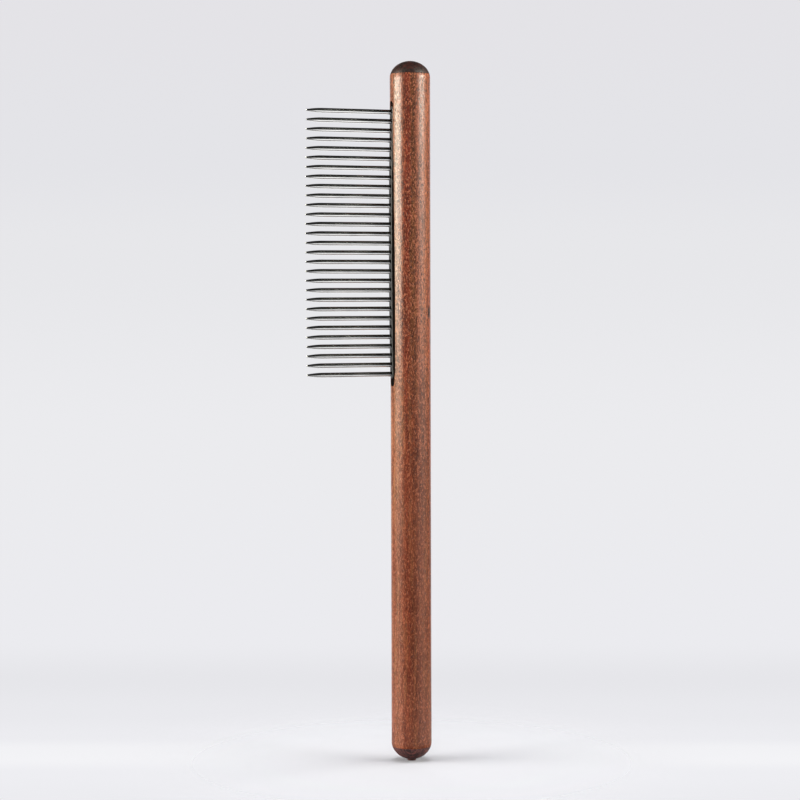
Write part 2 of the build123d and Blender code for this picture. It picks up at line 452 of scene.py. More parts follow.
def build_top_cap():
    steps = 18
    profile = tenon(top_lo.z, Z_TOP_SEAM - 2 * MM, Z_TOP_SEAM, up=1)
    profile += seam_lip(TOP_SEAM_R, Z_TOP_SEAM, up=1)
    crown_start = math.atan2(TOP_CROWN_R - TOP_DOME_H, TOP_SIDE_C)
    side_turn = crown_start - TOP_SEAM_ANGLE - SEAM_GAP_ANGLE
    for k in range(steps + 1):
        profile.append(top_side(TOP_SEAM_ANGLE + SEAM_GAP_ANGLE + side_turn * k / steps))
    for k in range(1, steps + 1):
        a = crown_start + (math.pi / 2 - crown_start) * k / steps
        r = 0.0 if k == steps else TOP_CROWN_R * math.cos(a)
        profile.append((r, Z_APEX - TOP_CROWN_R + TOP_CROWN_R * math.sin(a)))

    def wobble(theta, z):
        if z < Z_TOP_SEAM + CAP_TRUE:
            return 0.0
        fade = smooth01((z - Z_TOP_SEAM - CAP_TRUE) / MM)
        return hollow(0.02 * MM, theta, z, reach=1.3, period=2.2 * MM) * fade

    return build_cap("top_cap_dome", profile, wobble)


def build_bottom_cap():
    steps = 30
    stub_true = 0.6 * MM                  # no wobble below this height
    nub_z = bottom_dome(math.acos(NUB_R / R))[1]
    profile = [
        (0.0, 0.0),
        (0.5 * MM, 0.0),
        (NUB_R - 0.10 * MM, 0.0),
        (NUB_R - 0.03 * MM, 0.03 * MM),
        (NUB_R, 0.10 * MM),
        (NUB_R, nub_z * 0.62),
        # the stub flares softly into the dome
        (NUB_R + 0.05 * MM, nub_z * 0.86),
        (NUB_R + 0.17 * MM, nub_z + 0.02 * MM),
    ]
    start = math.acos((NUB_R + 0.36 * MM) / R)
    for k in range(steps + 1):
        turn = (BOT_SEAM_ANGLE + SEAM_GAP_ANGLE - start) * k / steps
        profile.append(bottom_dome(start + turn))
    profile += reversed(seam_lip(BOT_SEAM_R, Z_BOT_SEAM, up=-1))
    profile += reversed(tenon(bottom_hi.z, bottom_hi.z - 2 * MM, Z_BOT_SEAM, up=-1))

    def wobble(theta, z):
        if z > Z_BOT_SEAM - CAP_TRUE or z < stub_true:
            return 0.0
        depth = hollow(0.05 * MM, theta, z, reach=1.2, period=2.0 * MM, shift=9)
        seam_fade = smooth01((Z_BOT_SEAM - CAP_TRUE - z) / MM)
        return depth * seam_fade * smooth01((z - stub_true) / MM)

    return build_cap("bottom_cap_dome", profile, wobble)


# ---------------------------------------------------------------- spine bar
BAR_STEPS = (200, 24)                     # along a side, round an end
BAR_EDGE = 0.12 * MM                      # radius of its rounded front edge
HOLE_SEGS = 36
HOLE_R = TOOTH_R + 0.004 * MM
HOLE_DEPTHS = (0.5 * MM, 2.0 * MM, 3.6 * MM)
FACE_DY, FACE_DZ = 0.3 * MM, 0.33 * MM    # grid on the front face
BAR_SIDE_X = (-4.9 * MM, -3.3 * MM, BAR_BACK)


def hole_ring(zc):
    angles = [TAU * k / HOLE_SEGS for k in range(HOLE_SEGS)]
    return [(HOLE_R * math.cos(a), zc + HOLE_R * math.sin(a)) for a in angles]


def build_bar():
    """Worked out in (y, z) about the bar's middle, then bent onto the arched face."""
    outline = obround(BAR_A, BAR_H, *BAR_STEPS)
    holes = [t.z - BAR_ZC for t in TEETH]

    def inset(amount):
        return [grow(y, z, BAR_STRAIGHT, -amount) for y, z in outline]

    def in_hole(y, z, radius):
        return any(math.hypot(y, z - zc) < radius for zc in holes)

    def on_face(points, depth=0.0):
        return [Vector((face_x(z + BAR_ZC) + depth, y, z + BAR_ZC)) for y, z in points]

    front = inset(BAR_EDGE)
    coords = [Vector(p) for p in front]
    edges = loop_edges(0, len(front))
    for zc in holes:
        edges += loop_edges(len(coords), HOLE_SEGS)
        coords += [Vector(p) for p in hole_ring(zc)]
    for i in range(-3, 4):
        for j in range(int(2 * BAR_H / FACE_DZ)):
            y, z = i * FACE_DY, -BAR_H + j * FACE_DZ
            near_edge = core_distance(y, z, BAR_STRAIGHT) > BAR_A - BAR_EDGE - 0.12 * MM
            if not near_edge and not in_hole(y, z, HOLE_R + 0.1 * MM):
                coords.append(Vector((y, z)))

    def off_face(y, z):
        outside = core_distance(y, z, BAR_STRAIGHT) > BAR_A - BAR_EDGE - 1e-9
        return outside or in_hole(y, z, HOLE_R - 1e-8)

    flat, faces = triangulate(coords, edges, off_face)
    shell = Shell(on_face(flat), faces)

    loops = [on_face(front)]
    for k in range(1, EDGE_STEPS + 1):
        a = math.pi / 2 * k / EDGE_STEPS
        loops.append(on_face(inset(BAR_EDGE * (1 - math.sin(a))), BAR_EDGE * (1 - math.cos(a))))
    loops += [[Vector((x, y, z + BAR_ZC)) for y, z in outline] for x in BAR_SIDE_X]
    shell.close(shell.skin(loops))
    for zc in holes:
        ring = hole_ring(zc)
        loops = [on_face(ring)]
        for depth in HOLE_DEPTHS:
            x = face_x(zc + BAR_ZC) + depth
            loops.append([Vector((x, y, z + BAR_ZC)) for y, z in ring])
        shell.close(shell.skin(loops))
    return shell.build("spine_bar_steel", sharp_deg=45)


# ---------------------------------------------------------------- adhesive
BED_STEPS = 8                             # rings from the wood to the bar


def fill_amount(z):
    """How far the adhesive stands up between bar and wood: lean at the upper end, full lower."""
    return smooth01((SLOT_ZC + 29 * MM - z) / (9 * MM))


def bed_point(wood, bar, t):
    """A point on the bed's surface, t of the way from the wood to the bar."""
    (wood_y, wood_z), (bar_y, bar_z) = wood, bar
    full = fill_amount(wood_z)
    # where it's full, the bed reaches over the slot's broken edge
    reach = mouth_ease(wood_z) * 0.93 * full
    wood_y, wood_z = grow(wood_y, wood_z, SLOT_STRAIGHT, reach, centre=SLOT_ZC)
    wood_y = widen(wood_y, wood_z)
    y = wood_y + (bar_y - wood_y) * t
    z = wood_z + (bar_z - wood_z) * t
    wood_x = -math.sqrt(R * R - wood_y * wood_y) + (0.055 + 0.16 * (1 - full)) * MM
    bar_x = max(-5.50 * MM - full * 0.30 * MM, face_x(bar_z) + 0.16 * MM)
    dip = (0.04 + 0.10 * full) * MM * math.sin(math.pi * t)
    lump = 0.045 * MM * noise.noise(Vector((y / (0.8 * MM), z / (2.3 * MM), 3.7)))
    lump *= math.sin(math.pi * min(1.0, t * 0.9 + 0.1)) * (0.4 + 0.6 * full)
    return Vector((wood_x + (bar_x - wood_x) * t + dip + lump, y, z))


def build_adhesive():
    wood = [(y, z + SLOT_ZC) for y, z in obround(SLOT_A, SLOT_H, *BAR_STEPS)]
    bar = [(y, z + BAR_ZC) for y, z in obround(BAR_A, BAR_H, *BAR_STEPS)]
    surface = [
        [bed_point(w, b, k / BED_STEPS) for w, b in zip(wood, bar)] for k in range(BED_STEPS + 1)
    ]
    shell = Shell()
    at_wood = shell.ring(surface[0])
    at_bar = shell.skin(surface[1:], at_wood)
    # inside: down the bar's side and across under it
    down_bar = [[Vector((x, y, z)) for y, z in bar] for x in (-3.5 * MM, BAR_BACK)]
    shell.close(shell.skin(down_bar, at_bar))
    # outside: down the slot's wall to its floor
    down_wall = [[Vector((x, widen(y, z), z)) for y, z in wood] for x in SLOT_WALL_X]
    shell.close(shell.skin(down_wall, at_wood))
    return shell.build("adhesive_line", sharp_deg=55)


# ---------------------------------------------------------------- teeth
TOOTH_SEGS = 40
SHANK_EDGE = 0.1 * MM
TAPER_L = 5.0 * MM
TAPER_ARC_R = 27.7 * MM
# Bead where the tooth leaves the bar
BEAD_R, BEAD_L = 0.86 * MM, 0.42 * MM
BEAD_BASE, BEAD_START = 0.015 * MM, 0.035 * MM
BEAD_END = BEAD_START + BEAD_L


def tooth_profile(free_length):
    """(s, r) from the buried end to the tip, s measured from the bar's face."""
    tip_r = 2 * TOOTH_R * TAPER_ARC_R - TOOTH_R**2 - TAPER_L**2
    tip_r /= 2 * TAPER_ARC_R - 2 * TAPER_L
    profile = [
        (-SHANK_L, 0.0),
        (-SHANK_L, TOOTH_R - SHANK_EDGE),
        (-SHANK_L + SHANK_EDGE, TOOTH_R),
        (-1.0 * MM, TOOTH_R),
        (0.0, TOOTH_R),
        (BEAD_BASE, TOOTH_R),
        (BEAD_BASE, BEAD_R - 0.02 * MM),
    ]
    for k in range(9):
        t = k / 8
        profile.append((BEAD_START + BEAD_L * t, TOOTH_R + (BEAD_R - TOOTH_R) * (1 - t) ** 2.2))
    taper_s = free_length - TAPER_L
    for k in range(1, 13):
        profile.append((BEAD_END + (taper_s - BEAD_END) * k / 12, TOOTH_R))
    taper_turn = math.asin((TAPER_L - tip_r) / (TAPER_ARC_R - tip_r))
    for k in range(1, 17):
        a = taper_turn * k / 16
        r = TOOTH_R - TAPER_ARC_R + TAPER_ARC_R * math.cos(a)
        profile.append((taper_s + TAPER_ARC_R * math.sin(a), r))
    for k in range(1, 11):
        a = taper_turn + (math.pi / 2 - taper_turn) * k / 10
        r = 0.0 if k == 10 else tip_r * math.cos(a)
        profile.append((free_length - tip_r + tip_r * math.sin(a), r))
    return profile


def build_tooth(tooth, index):
    # set by hand in a row: each one leans by a few hundredths of a degree
    lean_z = math.radians(0.10) * noise.noise(Vector((index * 1.37, 2.1, 0.3)))
    lean_y = math.radians(0.14) * noise.noise(Vector((index * 1.91, 7.7, 5.2)))
    loops = []
    for s, r in tooth_profile(tooth.face - tooth.tip):
        out = max(0.0, s)
        yc, zc = out * lean_y, tooth.z + out * lean_z
        x = max(tooth.face - s, tooth.tip)
        if r < 1e-9:
            loops.append([(x, yc, zc)])
            continue
        angles = [TAU * k / TOOTH_SEGS for k in range(TOOTH_SEGS)]
        loops.append([(x, yc + r * math.cos(a), zc + r * math.sin(a)) for a in angles])
    shell = Shell()
    shell.skin(loops)
    shell.flip()
    return shell.build(f"steel_{tooth.node}", sharp_deg=50)


# ---------------------------------------------------------------- node graphs
class Graph:
    """A small helper for building a node tree."""

    def __init__(self, tree):
        self.tree = tree
        tree.nodes.clear()

    def put(self, socket, v):
        if isinstance(v, bpy.types.NodeSocket):
            self.tree.links.new(v, socket)
            return
        if isinstance(v, tuple) and len(v) == 3 and socket.type == "RGBA":
            v = (*v, 1.0)
        socket.default_value = v

    def add(self, kind, ins=None, **props):
        node = self.tree.nodes.new("ShaderNode" + kind)
        for k, v in props.items():
            setattr(node, k, v)
        for k, v in (ins or {}).items():
            self.put(node.inputs[k], v)
        return node

    def math(self, op, *values):
        return self.add("Math", dict(enumerate(values)), operation=op).outputs[0]

    def chain(self, op, first, *rest):
        for v in rest:
            first = self.math(op, first, v)
        return first

    def plus(self, *values):
        return self.chain("ADD", *values)

    def times(self, *values):
        return self.chain("MULTIPLY", *values)

    def minus(self, a, b):
        return self.math("SUBTRACT", a, b)

    def affine(self, v, times, plus):
        return self.math("MULTIPLY_ADD", v, times, plus)

    def vector(self, op, *values, scale=None):
        ins = dict(enumerate(values))
        if scale is not None:
            ins["Scale"] = scale
        outputs = self.add("VectorMath", ins, operation=op).outputs
        return outputs["Value"] if op in ("DOT_PRODUCT", "LENGTH") else outputs[0]

    def coords_mm(self):
        """Object coordinates in millimetres."""
        return self.vector("SCALE", self.add("TexCoord").outputs["Object"], scale=1000.0)

    def mapped(self, vec, scale, shift):
        ins = {"Vector": vec, "Scale": scale, "Location": shift}
        return self.add("Mapping", ins).outputs[0]

    def noise(self, vec, scale, shift=(0, 0, 0), detail=2.0, rough=0.5, out="Fac"):
        ins = {"Vector": self.mapped(vec, scale, shift), "Scale": 1.0}
        return self.add("TexNoise", {**ins, "Detail": detail, "Roughness": rough}).outputs[out]

    def wander(self, vec, scale, detail, reach):
        """A random vector either side of zero."""
        colour = self.noise(vec, scale, detail=detail, out="Color")
        return self.vector("SCALE", self.vector("SUBTRACT", colour, (0.5, 0.5, 0.5)), scale=reach)

    def cells(self, vec, scale, shift=(0, 0, 0), jitter=None):
        """Distance to the nearest of a scatter of points."""
        at = self.mapped(vec, scale, shift)
        if jitter:
            at = self.vector("ADD", at, jitter)
        return self.add("TexVoronoi", {"Vector": at, "Scale": 1.0}).outputs["Distance"]

    def ramp(self, fac, stops, interp="LINEAR"):
        """stops are (position, colour)."""
        node = self.add("ValToRGB", {0: fac})
        node.color_ramp.interpolation = interp
        marks = node.color_ramp.elements
        while len(marks) > 1:
            marks.remove(marks[-1])
        marks[0].position = stops[0][0]
        marks[0].color = (*stops[0][1], 1.0)
        for position, colour in stops[1:]:
            marks.new(position).color = (*colour, 1.0)
        return node.outputs[0]

    def span(self, v, over, to=(0.0, 1.0), smooth=True):
        """Maps the range over onto the range to, and clamps."""
        ins = {"Value": v, "From Min": over[0], "From Max": over[1]}
        ins.update({"To Min": to[0], "To Max": to[1]})
        kind = "SMOOTHSTEP" if smooth else "LINEAR"
        return self.add("MapRange", ins, interpolation_type=kind, clamp=True).outputs[0]

    def mix(self, a, b, amount, blend="MIX"):
        ins = {0: amount, 6: a, 7: b}
        return self.add("Mix", ins, data_type="RGBA", blend_type=blend).outputs[2]

    def tint(self, a, b):
        return self.mix(a, b, amount=1.0, blend="MULTIPLY")

    def grey(self, v):
        return self.add("CombineXYZ", {0: v, 1: v, 2: v}).outputs[0]

    def sep(self, v):
        return self.add("SeparateXYZ", {"Vector": v}).outputs

    def bump(self, height, depth, **normal):
        ins = {"Height": height, "Distance": depth, "Strength": 1.0, **normal}
        return self.add("Bump", ins).outputs[0]


def new_material(name):
    mat = bpy.data.materials.new(name)
    mat.use_nodes = True
    return mat, Graph(mat.node_tree)


def finish_material(mat, g, **inputs):
    shader = g.add("BsdfPrincipled", {k.replace("_", " "): v for k, v in inputs.items()})
    g.add("OutputMaterial", {0: shader.outputs[0]})
    return mat


# ---------------------------------------------------------------- wood
# Texture scales are per millimetre; a small last figure draws the pattern out along the rod.
def wood_pattern(g, pos, pore_density):
    """Grain shared by rod and caps: warped coordinates, jitter, then cloud, fibre and pores."""
    warp = g.wander(pos, scale=(0.11, 0.11, 0.018), detail=2.0, reach=3.2)
    grain = g.vector("ADD", pos, g.vector("MULTIPLY", warp, (1.0, 1.0, 2.0)))
    cloud = g.noise(grain, scale=(0.22, 0.22, 0.11), shift=(9.0, 2.0, 5.0))
    fibre = g.noise(grain, scale=(2.3, 2.3, 0.85), rough=0.72)
    # open pores: short dark dashes along the grain, in two sizes
    jitter = g.wander(pos, scale=(3.0, 3.0, 1.2), detail=1.0, reach=0.45)
    big = g.cells(grain, scale=(1.75, 1.75, 0.58), shift=(0.3, 0.7, 0.1), jitter=jitter)
    big = g.span(big, over=(0.34, 0.13))
    small = g.cells(grain, scale=(2.9, 2.9, 1.0), shift=(5.3, 1.7, 9.1), jitter=jitter)
    small = g.times(g.span(small, over=(0.32, 0.12)), 0.8)
    area = g.noise(grain, scale=(0.35, 0.35, 0.12), shift=(2.0, 2.0, 2.0))
    area = g.span(area, over=(0.34, 0.60), to=(0.45, 1.0))
    pore = g.times(g.math("MAXIMUM", big, small), g.times(area, pore_density))
    return grain, jitter, cloud, fibre, pore


# Bands up the grain, partly painted highlight: offset toward SIDE and half width in mm, colour,
# strength
# the pale bands at 2.75 and -4.10 lie under the two highlights and carry their tint as painted
# highlight
BANDS = [
    (-0.95, 0.85, (0.200, 0.0300, 0.0140), 0.72),
    (0.80, 0.95, (0.140, 0.0640, 0.0225), 0.76),
    (4.20, 0.95, (0.385, 0.1300, 0.0380), 0.72),
    (2.75, 0.95, (0.385, 0.1480, 0.0900), 0.66),
    (-4.10, 0.70, (0.310, 0.1350, 0.0540), 0.50),
]
# Dark knots: bearing in degrees, height, quarter width and half height in mm, strength
KNOTS = [
    (-44.5, 128.8, 0.46, 1.75, 0.95),
    (-33.0, 120.6, 0.38, 1.20, 0.80),
    (-82.9, 131.3, 0.14, 0.55, 0.60),
]
KNOT_R = 5.75                             # their distance from the rod's axis, mm


def wood_ground(g, grain, cloud):
    """Red-brown figure, browner areas, and long tan and dark streaks."""
    figure = g.noise(
        grain, scale=(0.34, 0.30, 0.040), shift=(3.1, 7.7, 1.3), detail=3.0, rough=0.55
    )
    base = g.ramp(
        g.plus(g.times(figure, 0.70), g.times(cloud, 0.30)),
        stops=[
            (0.30, (0.142, 0.0330, 0.0155)),
            (0.42, (0.186, 0.0470, 0.0225)),
            (0.52, (0.226, 0.0610, 0.0305)),
            (0.62, (0.270, 0.0800, 0.0400)),
            (0.74, (0.320, 0.1050, 0.0520)),
        ],
    )
    tone = g.noise(grain, scale=(0.24, 0.24, 0.07), shift=(4.0, 8.0, 6.0))
    brown = g.span(tone, over=(0.42, 0.66), to=(0.0, 0.60))
    base = g.mix(base, (0.195, 0.0610, 0.0300), amount=brown)
    hue = g.noise(grain, scale=(0.95, 0.95, 0.045), shift=(7.0, 3.0, 9.0), detail=3.0, rough=0.55)
    tan = g.span(hue, over=(0.53, 0.61), to=(0.0, 0.70))
    base = g.mix(base, (0.290, 0.118, 0.0560), amount=tan)
    dark = g.span(hue, over=(0.47, 0.40), to=(0.0, 0.65))
    return g.mix(base, (0.140, 0.0330, 0.0150), amount=dark)


def wood_bands(g, base, across, z):
    # partly painted light: the bands fade lower down, where the highlights fade
    upper = g.span(z, over=(95.0, 135.0), to=(0.25, 1.0))
    for offset, width, colour, strength in BANDS:
        away = g.math("ABSOLUTE", g.minus(across, offset))
        inside = g.span(away, over=(width * 1.25, width * 0.55))
        base = g.mix(base, colour, amount=g.times(inside, upper, strength))
    return base


def wood_flecks(g, base, pos, z, fleck, pore, calm):
    """Fine pale painted glints and dark pits, then larger pale flecks and the pores."""
    fine = g.span(z, over=(55.0, 125.0), to=(0.64, 1.0))
    # painted highlight: pale glints put in the colour, strongest up high where the highlights lie
    painted_glint = g.noise(pos, scale=(3.4, 3.4, 1.20), shift=(8.0, 1.0, 5.0), rough=0.70)
    painted_glint = g.times(g.span(painted_glint, over=(0.53, 0.61)), 0.88, fine)
    base = g.mix(base, (0.640, 0.250, 0.145), amount=painted_glint)
    pit = g.noise(pos, scale=(3.5, 3.5, 1.20), shift=(2.0, 6.0, 3.0), rough=0.70)
    pit = g.times(g.span(pit, over=(0.54, 0.64)), 0.86, fine)
    base = g.mix(base, (0.062, 0.0175, 0.0085), amount=pit)
    base = g.mix(base, (0.50, 0.175, 0.085), amount=g.times(fleck, 0.42, calm))
    return g.mix(base, (0.030, 0.0075, 0.0035), amount=g.times(pore, 0.70, calm))


def painted_flank_light_shade(g, base, across, z):
    """Painted light and shade, partly the wood's own hue: the toothed flank is painted paler, by
    an amount that changes with height, and away from it the wood is painted deeper and redder.
    """
    warm = g.span(across, over=(-3.4, -1.9))
    redder = g.span(across, over=(1.2, 2.6))
    painted_shade_and_red = g.mix((0.86, 0.655, 0.525), (0.80, 0.605, 0.485), amount=redder)
    middle = g.span(z, over=(62.0, 84.0))
    painted_flank_light = g.mix((0.95, 0.94, 0.92), (1.06, 1.08, 0.96), amount=middle)
    painted_flank_light = g.mix(painted_flank_light, (0.86, 0.86, 0.80), amount=g.span(z, over=(100.0, 124.0)))
    return g.tint(base, g.mix(painted_flank_light, painted_shade_and_red, amount=warm))


def wood_knots(g, base, pos, fibre):
    for bearing, z, width, height, strength in KNOTS:
        a = math.radians(bearing)
        away = g.vector("SUBTRACT", pos, (KNOT_R * math.cos(a), KNOT_R * math.sin(a), z))
        away = g.vector("MULTIPLY", away, (1 / width / 2, 1 / width / 2, 1 / height))
        ragged = g.times(g.minus(fibre, 0.5), 0.7)
        away = g.plus(g.vector("LENGTH", away), ragged)
        knot = g.span(away, over=(1.15, 0.55), to=(0.0, strength))
        base = g.mix(base, (0.014, 0.0065, 0.0040), amount=knot)
    return base


def wood_material():
    mat, g = new_material("lacquered_hardwood")
    pos = g.coords_mm()
    grain, jitter, cloud, fibre, pore = wood_pattern(g, pos, pore_density=1.0)
    streak = g.noise(
        grain, scale=(1.25, 1.25, 0.10), shift=(1.0, 4.0, 2.0), detail=4.0, rough=0.62
    )
    fleck = g.cells(grain, scale=(1.9, 1.9, 0.62), shift=(7.3, 3.1, 4.4), jitter=jitter)
    clouded = g.span(cloud, over=(0.36, 0.58), to=(0.35, 1.0))
    fleck = g.times(g.span(fleck, over=(0.34, 0.10)), clouded)
    # distance toward SIDE, wandering along the grain
    x, y, z = g.sep(pos)
    drift = g.noise(pos, scale=(0.30, 0.30, 0.050), shift=(3.0, 5.0, 2.0), detail=3.0, rough=0.6)
    drift = g.times(g.minus(drift, 0.5), 2.6)
    across = g.plus(g.times(x, SIDE_X), g.times(y, SIDE_Y), drift)
    # the grain is calmer towards the lower end
    calm = g.span(z, over=(55.0, 125.0), to=(0.55, 1.0))

    def swing(v, over, amount):
        """Grey either side of 1, to lighten and darken by amount."""
        either_side = g.span(v, over, to=(-1.0, 1.0), smooth=False)
        return g.grey(g.affine(g.times(either_side, calm), times=amount, plus=1.0))

    base = wood_bands(g, wood_ground(g, grain, cloud), across, z)
    # painted light and shade: low down, the toothed flank is painted paler and the far flank
    # darker
    painted_side_light = g.span(z, over=(102.0, 122.0), to=(1.0, 0.0))
    base = g.tint(base, g.grey(g.plus(g.times(painted_side_light, g.times(across, -0.055)), 1.0)))
    base = g.tint(base, swing(streak, over=(0.34, 0.66), amount=0.40))
    base = g.tint(base, swing(fibre, over=(0.28, 0.72), amount=0.66))
    base = wood_flecks(g, base, pos, z, fleck, pore, calm)
    base = painted_flank_light_shade(g, base, across, z)
    base = wood_knots(g, base, pos, fibre)

    # the lacquer follows the combed fibres and sinks into the pores
    combed = g.noise(pos, scale=(2.9, 2.9, 0.95), shift=(6.0, 1.0, 8.0), rough=0.60)
    height = g.plus(g.times(combed, 1.00), g.times(fibre, 0.30))
    coat_normal = g.bump(g.minus(height, g.times(pore, 0.15)), depth=0.027 * MM)
    # it is thin along fine dashes, and rubbed off the turned edges by the caps
    film = g.noise(pos, scale=(2.6, 2.6, 1.6), shift=(2.0, 9.0, 4.0), rough=0.80)
    film = g.span(film, over=(0.40, 0.60), to=(0.40, 1.0), smooth=False)
    top_rub = g.span(z, over=(195.9, 194.5), to=(0.10, 1.0))
    film = g.times(film, g.times(top_rub, g.span(z, over=(4.2, 5.4), to=(0.30, 1.0))))
    return finish_material(
        mat, g, Base_Color=base, Roughness=0.55, Specular_IOR_Level=0.10,
        Normal=g.bump(g.minus(g.times(streak, 0.5), pore), depth=0.08 * MM),
        Coat_Weight=g.times(film, g.minus(1.0, g.times(pore, 0.40))),
        Coat_Roughness=g.plus(g.times(cloud, 0.08), g.times(pore, 0.10), 0.170),
        Coat_IOR=1.5, Coat_Normal=coat_normal,
    )


def cap_material():
    mat, g = new_material("dark_end_wood")
    pos = g.coords_mm()
    _, _, cloud, fibre, pore = wood_pattern(g, pos, pore_density=0.8)
    # growth rings about an off-centre axis cut across the domed ends
    radial = g.vector("MULTIPLY", g.vector("ADD", pos, (2.8, 6.5, 0.0)), (1.0, 1.0, 0.0))
    radius = g.vector("LENGTH", radial)
    wobble = g.noise(pos, scale=(0.5, 0.5, 0.5))
    ring = g.math("SINE", g.plus(g.times(radius, 7.2), g.times(wobble, 7.0)))
    mottle = g.noise(pos, scale=(0.75, 0.75, 0.75), shift=(3.0, 1.0, 2.0), detail=3.0, rough=0.6)
    base = g.ramp(
        g.plus(g.times(mottle, 0.8), g.times(ring, 0.05)),
        stops=[
            (0.26, (0.0150, 0.0070, 0.0060)),
            (0.38, (0.0300, 0.0120, 0.0098)),
            (0.48, (0.0560, 0.0180, 0.0138)),
            (0.60, (0.0950, 0.0290, 0.0200)),
        ],
    )
    fibre_shade = g.span(fibre, over=(0.25, 0.75), to=(0.55, 1.45), smooth=False)
    base = g.tint(base, g.grey(fibre_shade))
    base = g.mix(base, (0.006, 0.0030, 0.0024), amount=g.times(pore, 0.7))
    speck = g.span(g.cells(pos, scale=(2.2, 2.2, 2.2)), over=(0.30, 0.10))
    base = g.mix(base, (0.15, 0.075, 0.052), amount=g.times(speck, 0.35))
    # painted light and shade: the bottom cap is painted much paler and bluer than the top one, as
    # light and sheen from the floor below, and the top one darker
    cap_painted_light_height = g.span(g.sep(pos)[2], over=(20.0, 180.0))
    base = g.tint(base, g.mix((2.75, 3.05, 3.70), (0.47, 0.22, 0.19), amount=cap_painted_light_height))
    height = g.plus(g.times(mottle, 0.5), g.times(fibre, 0.35))
    normal = g.bump(g.minus(height, g.times(pore, 0.5)), depth=0.12 * MM)
    return finish_material(
        mat, g, Base_Color=base, Roughness=g.affine(mottle, times=0.25, plus=0.46),
        Specular_IOR_Level=0.16, Normal=normal, Coat_Weight=0.12,
        Coat_Roughness=g.affine(cloud, times=0.3, plus=0.25), Coat_IOR=1.45, Coat_Normal=normal,
    )


# ---------------------------------------------------------------- metal and adhesive
def tooth_material():
    mat, g = new_material("polished_tooth_steel")
    pos = g.coords_mm()
    x = g.sep(pos)[0]
    # drawing lines along the wire, and polishing rings round the taper
    drawn = g.noise(pos, scale=(0.35, 9.0, 9.0), detail=3.0, rough=0.6)
    turned = g.noise(pos, scale=(13.0, 0.6, 0.6), rough=0.6)
    cloud = g.noise(pos, scale=(0.22, 0.8, 0.8), shift=(1, 2, 3), detail=3.0, rough=0.55)
    smut = g.noise(pos, scale=(0.9, 1.6, 1.6), shift=(5, 5, 1), detail=3.0, rough=0.6)
    base = g.ramp(cloud, stops=[
        (0.30, (0.52, 0.52, 0.515)),
        (0.50, (0.60, 0.597, 0.585)),
        (0.70, (0.67, 0.667, 0.655)),
    ])
    smutty = g.span(smut, over=(0.56, 0.74), to=(0.0, 0.25))
    base = g.mix(base, (0.42, 0.40, 0.37), amount=smutty)
    # painted shade and dark reflection at the roots, where the teeth meet the bar
    root = g.span(x, over=(-7.3, -6.15), to=(0.0, 0.65))
    painted_root_shade = g.times(root, g.affine(smut, times=0.9, plus=0.5))
    base = g.mix(base, (0.10, 0.10, 0.105), amount=painted_root_shade)
    # painted dark reflection: all but the underside of each wire is painted darker, as the dark
    # room above would show in the steel, most of all near the bar
    normal_z = g.sep(g.add("NewGeometry").outputs["Normal"])[2]
    near_bar = g.span(x, over=(-17.0, -7.5), to=(0.30, 0.80))
    painted_dark_reflection = g.times(g.span(normal_z, over=(-0.46, -0.20)), near_bar)
    base = g.mix(base, (0.050, 0.052, 0.058), amount=painted_dark_reflection)
    tip = g.span(x, over=(-26.3, -27.6))
    height = g.plus(g.times(drawn, g.minus(1.0, tip)), g.times(turned, tip))
    rough = g.plus(g.affine(cloud, times=0.08, plus=0.08), g.times(root, 0.12))
    return finish_material(
        mat, g, Base_Color=base, Metallic=1.0, Roughness=rough,
        Normal=g.bump(height, depth=0.0012 * MM), Anisotropic=0.25,
    )


def bar_material():
    mat, g = new_material("satin_bar_steel")
    pos = g.coords_mm()
    # brushed along its length
    brushed = g.noise(pos, scale=(8.0, 8.0, 0.22), detail=4.0, rough=0.65)
    cloud = g.noise(pos, scale=(0.5, 0.5, 0.10), shift=(2, 3, 1), detail=3.0, rough=0.6)
    spot = g.span(g.cells(pos, scale=(1.1, 1.1, 0.8)), over=(0.30, 0.05))
    # painted shade and dark reflection: the base colour is far darker than bare steel
    base = g.ramp(cloud, stops=[
        (0.32, (0.052, 0.051, 0.052)),
        (0.52, (0.072, 0.070, 0.071)),
        (0.70, (0.098, 0.096, 0.096)),
    ])
    base = g.mix(base, (0.10, 0.10, 0.10), amount=g.times(spot, 0.4))
    # painted reflection of the wood: a little warmer towards the upper end
    upper = g.span(g.sep(pos)[2], over=(160.0, 187.0), to=(0.0, 0.55))
    base = g.mix(base, (0.085, 0.062, 0.052), amount=upper)
    base = g.tint(base, g.grey(g.affine(brushed, times=0.55, plus=0.72)))
    normal = g.bump(g.plus(brushed, g.times(spot, -0.5)), depth=0.012 * MM)
    rough = g.affine(brushed, times=0.18, plus=0.30)
    return finish_material(mat, g, Base_Color=base, Metallic=1.0, Roughness=rough, Normal=normal)


def adhesive_material():
    mat, g = new_material("black_epoxy")
    pos = g.coords_mm()
    lump = g.noise(pos, scale=(0.9, 0.9, 0.45), detail=3.0)
    dust = g.noise(pos, scale=(5.0, 5.0, 5.0), detail=3.0, rough=0.7)
    black = [(0.35, (0.0020, 0.0007, 0.0004)), (0.65, (0.0046, 0.0016, 0.0009))]
    dusty = g.span(dust, over=(0.62, 0.78), to=(0.0, 0.12))
    base = g.mix(g.ramp(lump, stops=black), (0.030, 0.018, 0.012), amount=dusty)
    normal = g.bump(lump, depth=0.06 * MM, Normal=g.bump(dust, depth=0.01 * MM))
    rough = g.affine(dust, times=0.30, plus=0.40)
    return finish_material(
        mat, g, Base_Color=base, Roughness=rough, Specular_IOR_Level=0.02, Normal=normal
    )


# ---------------------------------------------------------------- assembly
WOOD, CAP, STEEL = wood_material(), cap_material(), tooth_material()
BAR, GLUE = bar_material(), adhesive_material()


